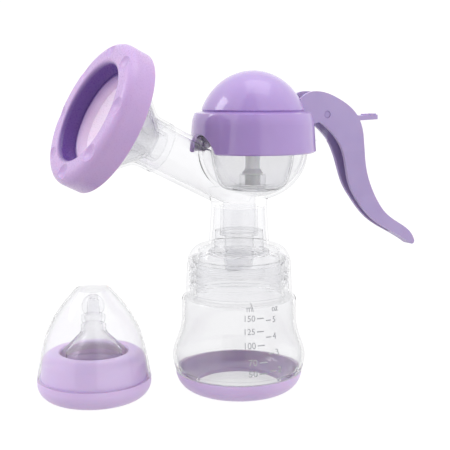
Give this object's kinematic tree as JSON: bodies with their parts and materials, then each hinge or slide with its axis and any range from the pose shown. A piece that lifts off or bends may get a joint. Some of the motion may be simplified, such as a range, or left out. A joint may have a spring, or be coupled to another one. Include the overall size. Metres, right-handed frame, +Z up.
{
  "type": "manual breast pump",
  "caption": "Manual breast pump with a domed cap, squeeze handle, covered horn and feeding bottle, and a capped teat set beside it.",
  "frame": {"origin": "centre of the bottle's foot face, on the floor", "axes": "+Z up, +X from the bottle towards the handle, -X towards the horn"},
  "size_m": [0.2249, 0.0918, 0.1825],
  "materials": {
    "purple_gloss": "gloss",
    "purple_satin": "satin",
    "purple_soft": "satin",
    "purple_light": "satin",
    "clear_body": "gloss",
    "clear_bottle": "gloss",
    "silicone": "satin",
    "white_plastic": "satin"
  },
  "bodies": {
    "bottle": {"bottle": "clear_bottle", "bottle_base": "purple_soft"},
    "seal": {"bottle_seal": "silicone"},
    "pump": {"pump_body": "clear_body", "horn": "clear_body", "massage_cushion": "silicone", "dome_cap": "purple_gloss", "duckbill_valve": "silicone", "diaphragm": "silicone", "pivot_pin": "purple_satin"},
    "rod": {"pull_rod": "white_plastic"},
    "handle": {"handle": "purple_satin"},
    "tab": {"stroke_tab": "purple_satin"},
    "cover": {"horn_cover": "purple_light"},
    "teat_set": {"teat_collar": "purple_soft", "teat": "silicone"},
    "teat_cap": {"teat_cap": "clear_body"}
  },
  "joints": [
    {"name": "pump_lift", "type": "slide", "parent": "bottle", "child": "seal", "axis": [0, 0, 1], "range_m": [0, 0.0158]},
    {"name": "pump_unscrew", "type": "hinge", "parent": "seal", "child": "pump", "pos_m": [0, 0, 0.07], "axis": [0, 0, 1], "range_deg": [0, 1350]},
    {"name": "handle_squeeze", "type": "hinge", "parent": "pump", "child": "handle", "pos_m": [0.053, 0, 0.147], "axis": [0, 1, 0], "range_deg": [0, 20], "stiffness_Nm_per_rad": 0.6},
    {"name": "rod_lift", "type": "slide", "parent": "pump", "child": "rod", "axis": [0, 0, 1], "range_m": [0, 0.0158], "deforming": ["diaphragm"]},
    {"name": "tab_slide", "type": "slide", "parent": "handle", "child": "tab", "axis": [0.9994, 0, 0.0349], "range_m": [-0.003, 0]},
    {"name": "cover_off", "type": "slide", "parent": "pump", "child": "cover", "axis": [-0.8973, 0, 0.4415], "range_m": [0, 0.06]},
    {"name": "teat_set_move", "type": "slide", "parent": "bottle", "child": "teat_set", "axis": [-1, 0, 0], "range_m": [0, 0.06]},
    {"name": "teat_cap_lift", "type": "slide", "parent": "teat_set", "child": "teat_cap", "axis": [0, 0, 1], "range_m": [0, 0.045]}
  ],
  "couplings": [
    {"joint": "pump_lift", "follows": "pump_unscrew", "m_per_rad": 0.00066845},
    {"joint": "rod_lift", "follows": "handle_squeeze", "m_per_rad": 0.0446}
  ]
}
